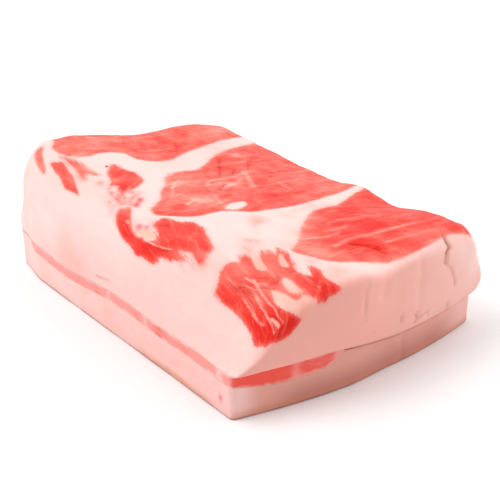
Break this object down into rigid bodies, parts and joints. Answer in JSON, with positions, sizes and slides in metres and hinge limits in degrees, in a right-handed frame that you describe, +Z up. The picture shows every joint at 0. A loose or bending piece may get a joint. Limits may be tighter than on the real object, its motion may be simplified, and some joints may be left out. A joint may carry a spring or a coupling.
{
  "type": "pork back fat slab",
  "caption": "Slab of raw pork back fat: a thick rounded fat layer on a flat fat plate, a thin wedge of lean between them and pads of lean let into the top.",
  "frame": {"origin": "middle of the whole outline, on the flat underside", "axes": "+X along the slab to its end face, +Y across to the far side, +Z up"},
  "size_m": [0.2132, 0.1466, 0.0669],
  "materials": {
    "fat": "soft moist pork fat, cream to pale pink, satin",
    "fat_below": "firm pork fat, slightly pinker, tan along the lower edge",
    "lean": "raw pork muscle, coral red with fine grain and white marbling, moist",
    "lean_thin": "thin streak of raw pork muscle, pink along the side and red at the corner"
  },
  "bodies": {
    "root": {"fat_upper": "fat", "fat_lower": "fat_below", "lean_streak": "lean_thin", "lean_back": "lean", "lean_middle": "lean", "lean_right": "lean", "lean_front": "lean", "lean_hook": "lean", "lean_island": "lean", "lean_sliver": "lean"}
  },
  "joints": []
}
